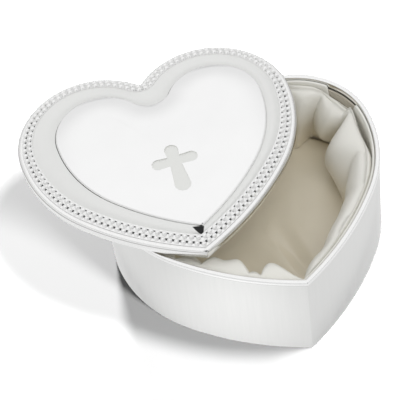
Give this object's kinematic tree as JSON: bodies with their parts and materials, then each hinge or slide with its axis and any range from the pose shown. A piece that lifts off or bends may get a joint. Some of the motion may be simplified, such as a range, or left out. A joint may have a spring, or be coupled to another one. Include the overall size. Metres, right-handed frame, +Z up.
{
  "type": "keepsake box",
  "caption": "Heart-shaped metal keepsake box with a padded satin lining and a loose lid: a domed heart plate with an engraved cross inside a beaded border.",
  "frame": {"origin": "on the surface that the box stands on, under the middle of the box's length and width", "axes": "+Z up, the point of the heart towards -Y, +X to the right when the point is nearest"},
  "size_m": [0.099, 0.0935, 0.0393],
  "materials": {
    "silver": "satin polished silver plate",
    "bright_silver": "polished silver plate",
    "satin": "champagne satin with a soft sheen",
    "wadding": "white polyester wadding",
    "card": "plain stiff board",
    "felt": "dark pressed felt"
  },
  "bodies": {
    "box": {"box_wall": "silver", "rim_wire": "silver", "base_plate": "silver", "base_felt": "felt", "side_card": "card", "side_wadding": "wadding", "side_satin": "satin", "floor_card": "card", "floor_wadding": "wadding", "floor_satin": "satin"},
    "lid": {"lid_frame": "silver", "heart_plate": "bright_silver", "outer_bead_row": "bright_silver", "inner_bead_row": "bright_silver", "lid_card": "card", "lid_wadding": "wadding", "lid_satin": "satin"}
  },
  "joints": [
    {"name": "lid_lift", "type": "slide", "parent": "box", "child": "lid", "axis": [0, 0, 1], "range_m": [0, 0.05]}
  ]
}
